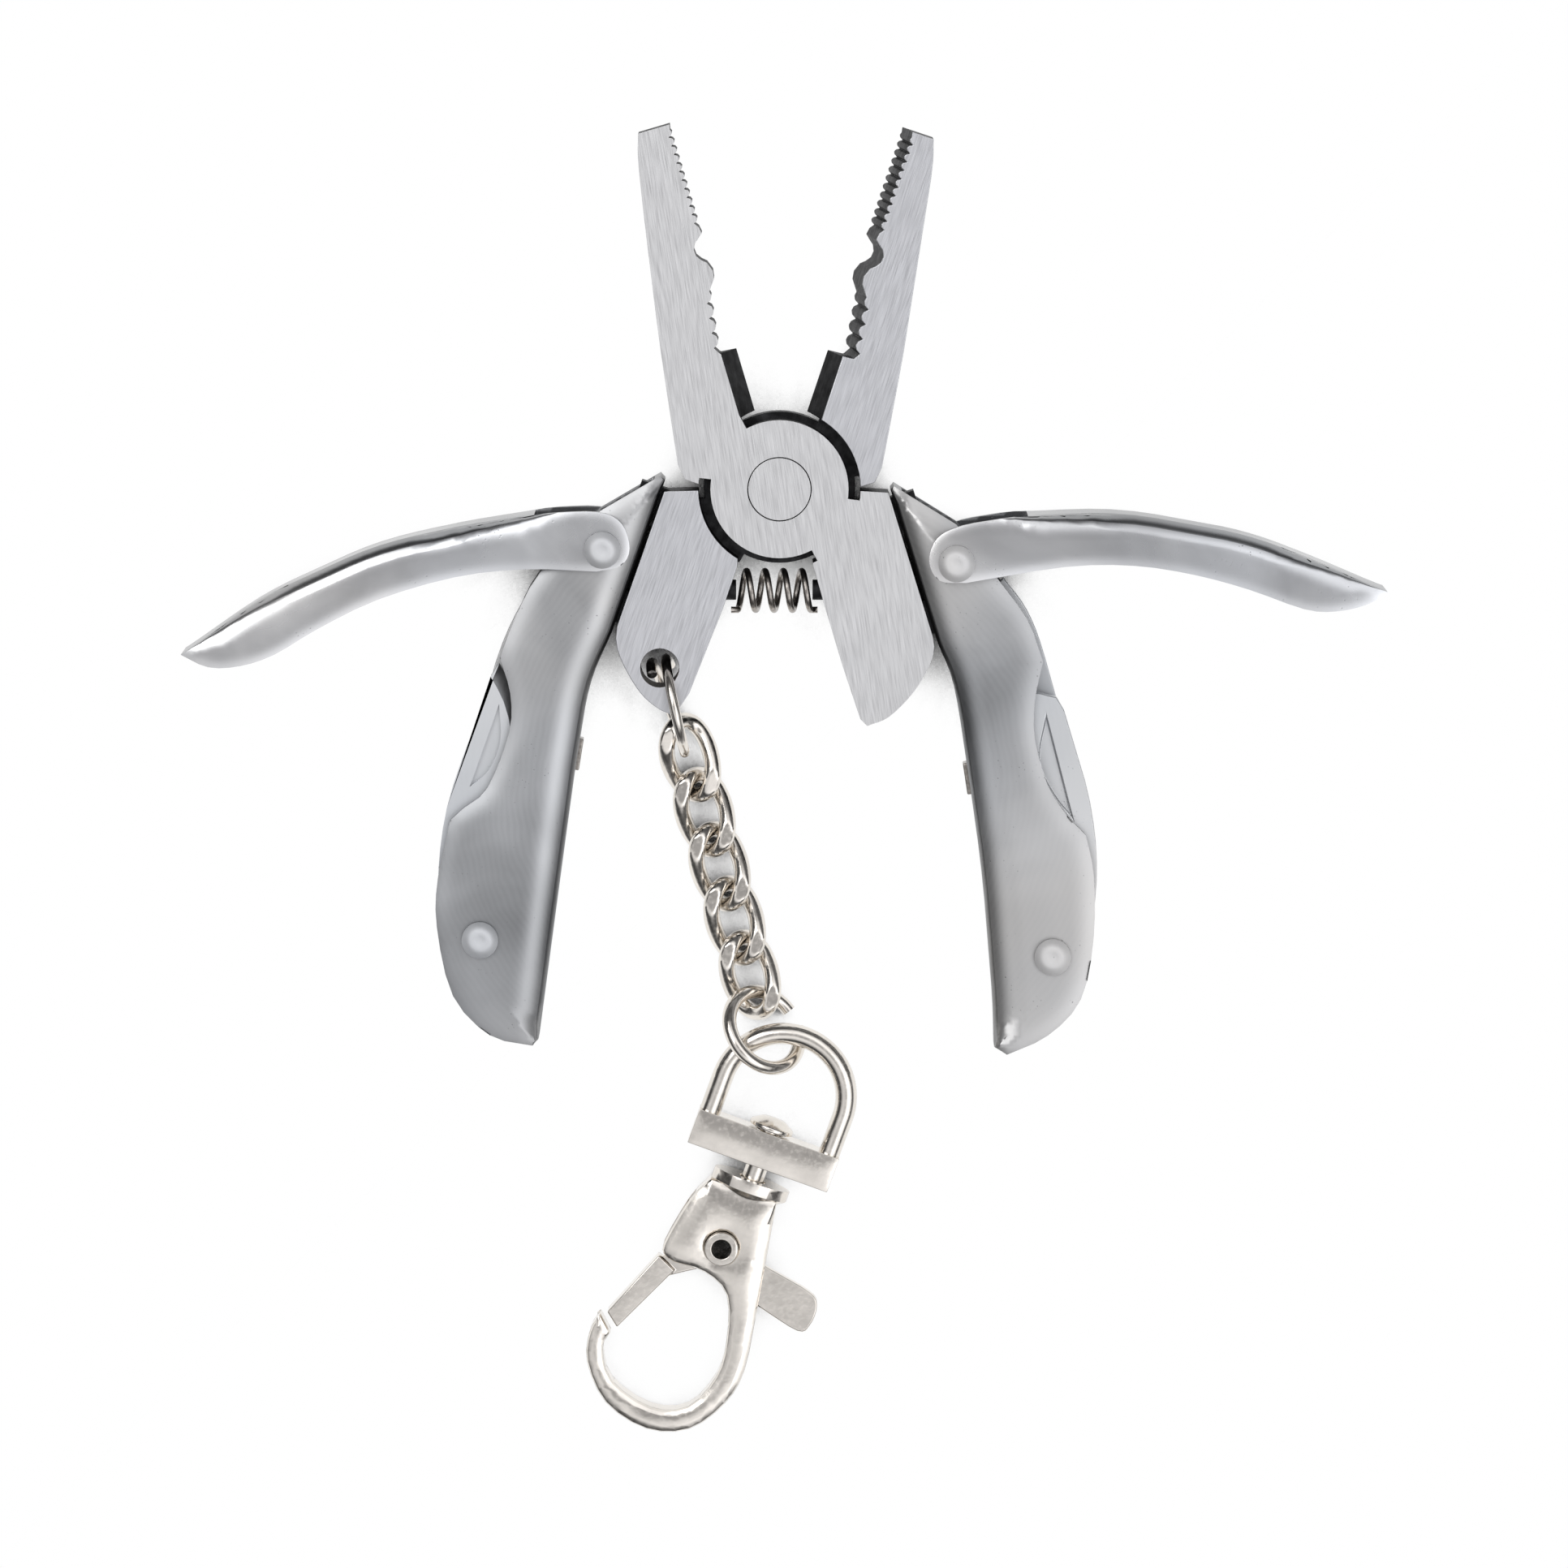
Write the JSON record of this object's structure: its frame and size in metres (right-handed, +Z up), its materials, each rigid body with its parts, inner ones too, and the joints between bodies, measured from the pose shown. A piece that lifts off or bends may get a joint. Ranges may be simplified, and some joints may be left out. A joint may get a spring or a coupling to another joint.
{
  "type": "multi tool",
  "caption": "Folding pocket pliers with tool handles and swing covers, shown open and flat, on a short chain with a swivel snap hook",
  "frame": {"origin": "centre of the bounding box in plan, at the lowest point", "axes": "+X to the right handle, +Y to the jaw tips, +Z up from the table towards the viewer"},
  "size_m": [0.1056, 0.116, 0.0104],
  "materials": {
    "plier_steel": "fine lengthwise brushed steel, darker on the side faces",
    "handle_sheet": "tumbled satin stainless sheet",
    "cover_sheet": "polished stainless sheet",
    "rivet_metal": "pale satin rivet metal",
    "blade_steel": "satin blade steel",
    "spring_steel": "dark oiled spring steel",
    "nickel_plate": "warm polished nickel plate"
  },
  "bodies": {
    "rear_half": {"rear_jaw_half": "plier_steel", "pivot_rivet": "plier_steel", "jaw_spring": "spring_steel", "left_handle": "handle_sheet", "left_leaf_spring": "spring_steel", "left_cover_rivet": "rivet_metal", "left_sleeve": "handle_sheet", "left_tool_rivet": "rivet_metal", "left_tool_washer": "handle_sheet"},
    "front_half": {"front_jaw_half": "plier_steel", "right_handle": "handle_sheet", "right_leaf_spring": "spring_steel", "right_cover_rivet": "rivet_metal", "right_sleeve": "handle_sheet", "right_tool_rivet": "rivet_metal", "right_tool_washer": "handle_sheet"},
    "left_cover_lever": {"left_cover": "cover_sheet"},
    "right_cover_lever": {"right_cover": "cover_sheet"},
    "knife": {"knife_blade": "blade_steel"},
    "file": {"nail_file": "blade_steel"},
    "opener": {"bottle_opener": "blade_steel"},
    "driver": {"screwdriver": "blade_steel"},
    "loop": {"key_loop": "nickel_plate"},
    "link_1": {"chain_link_1": "nickel_plate"},
    "link_2": {"chain_link_2": "nickel_plate"},
    "link_3": {"chain_link_3": "nickel_plate"},
    "link_4": {"chain_link_4": "nickel_plate"},
    "link_5": {"chain_link_5": "nickel_plate"},
    "ring": {"jump_ring": "nickel_plate"},
    "d_loop": {"d_ring": "nickel_plate"},
    "hook": {"hook_body": "nickel_plate", "swivel_pin": "nickel_plate", "eyelet": "nickel_plate", "gate_spring": "spring_steel"},
    "gate_arm": {"gate": "nickel_plate"}
  },
  "joints": [
    {"name": "plier_hinge", "type": "hinge", "parent": "rear_half", "child": "front_half", "pos_m": [-0.0004, 0.02615, 0.0052], "axis": [0, 0, 1], "range_deg": [-34.5, 0], "stiffness_Nm_per_rad": 0.02, "springref_deg": 11.46, "deforming": ["jaw_spring"]},
    {"name": "left_cover_hinge", "type": "hinge", "parent": "rear_half", "child": "left_cover_lever", "pos_m": [-0.0159, 0.02095, 0.0052], "axis": [0, 0, -1], "range_deg": [-40, 20]},
    {"name": "right_cover_hinge", "type": "hinge", "parent": "front_half", "child": "right_cover_lever", "pos_m": [0.0151, 0.01975, 0.0052], "axis": [0, 0, 1], "range_deg": [-55, 20]},
    {"name": "knife_hinge", "type": "hinge", "parent": "rear_half", "child": "knife", "pos_m": [-0.0267, -0.01345, 0.0052], "axis": [0, 0, 1], "range_deg": [0, 170]},
    {"name": "file_hinge", "type": "hinge", "parent": "rear_half", "child": "file", "pos_m": [-0.0267, -0.01345, 0.0052], "axis": [0, 0, 1], "range_deg": [0, 170]},
    {"name": "opener_hinge", "type": "hinge", "parent": "front_half", "child": "opener", "pos_m": [0.0236, -0.01495, 0.0052], "axis": [0, 0, -1], "range_deg": [0, 170]},
    {"name": "driver_hinge", "type": "hinge", "parent": "front_half", "child": "driver", "pos_m": [0.0236, -0.01495, 0.0052], "axis": [0, 0, -1], "range_deg": [0, 170]},
    {"name": "loop_lift", "type": "hinge", "parent": "rear_half", "child": "loop", "pos_m": [-0.00988, 0.00679, 0.0047], "axis": [-0.9636, -0.2672, 0], "range_deg": [0, 90]},
    {"name": "link_1_swing", "type": "hinge", "parent": "loop", "child": "link_1", "pos_m": [-0.00898, 0.00351, 0.0023], "axis": [0, 0, 1], "range_deg": [-8, 8]},
    {"name": "link_2_swing", "type": "hinge", "parent": "link_1", "child": "link_2", "pos_m": [-0.0077, -0.00046, 0.00175], "axis": [0, 0, -1], "range_deg": [-1, 8]},
    {"name": "link_3_swing", "type": "hinge", "parent": "link_2", "child": "link_3", "pos_m": [-0.00637, -0.00528, 0.00175], "axis": [0, 0, 1], "range_deg": [-8, 8]},
    {"name": "link_4_swing", "type": "hinge", "parent": "link_3", "child": "link_4", "pos_m": [-0.00503, -0.01009, 0.00175], "axis": [0, 0, -1], "range_deg": [-8, 8]},
    {"name": "link_5_swing", "type": "hinge", "parent": "link_4", "child": "link_5", "pos_m": [-0.00369, -0.01491, 0.00175], "axis": [0, 0, 1], "range_deg": [-8, 8]},
    {"name": "ring_swing", "type": "hinge", "parent": "link_5", "child": "ring", "pos_m": [-0.00262, -0.01879, 0.00175], "axis": [0, 0, -1], "range_deg": [-6, 6]},
    {"name": "d_ring_swing", "type": "hinge", "parent": "ring", "child": "d_loop", "pos_m": [-0.0005, -0.0238, 0.004], "axis": [0, 0, 1], "range_deg": [-6, 6]},
    {"name": "hook_swivel", "type": "hinge", "parent": "d_loop", "child": "hook", "pos_m": [-0.0018, -0.0326, 0.00301], "axis": [0.3416, 0.9384, 0.0523], "continuous": true},
    {"name": "gate_hinge", "type": "hinge", "parent": "hook", "child": "gate_arm", "pos_m": [-0.00551, -0.04134, 0.00252], "axis": [-0.0179, -0.0492, 0.9986], "range_deg": [0, 25], "stiffness_Nm_per_rad": 0.01, "springref_deg": -11.46}
  ],
  "couplings": [
    {"joint": "loop_lift", "follows": "plier_hinge", "ratio": -2.6087}
  ]
}
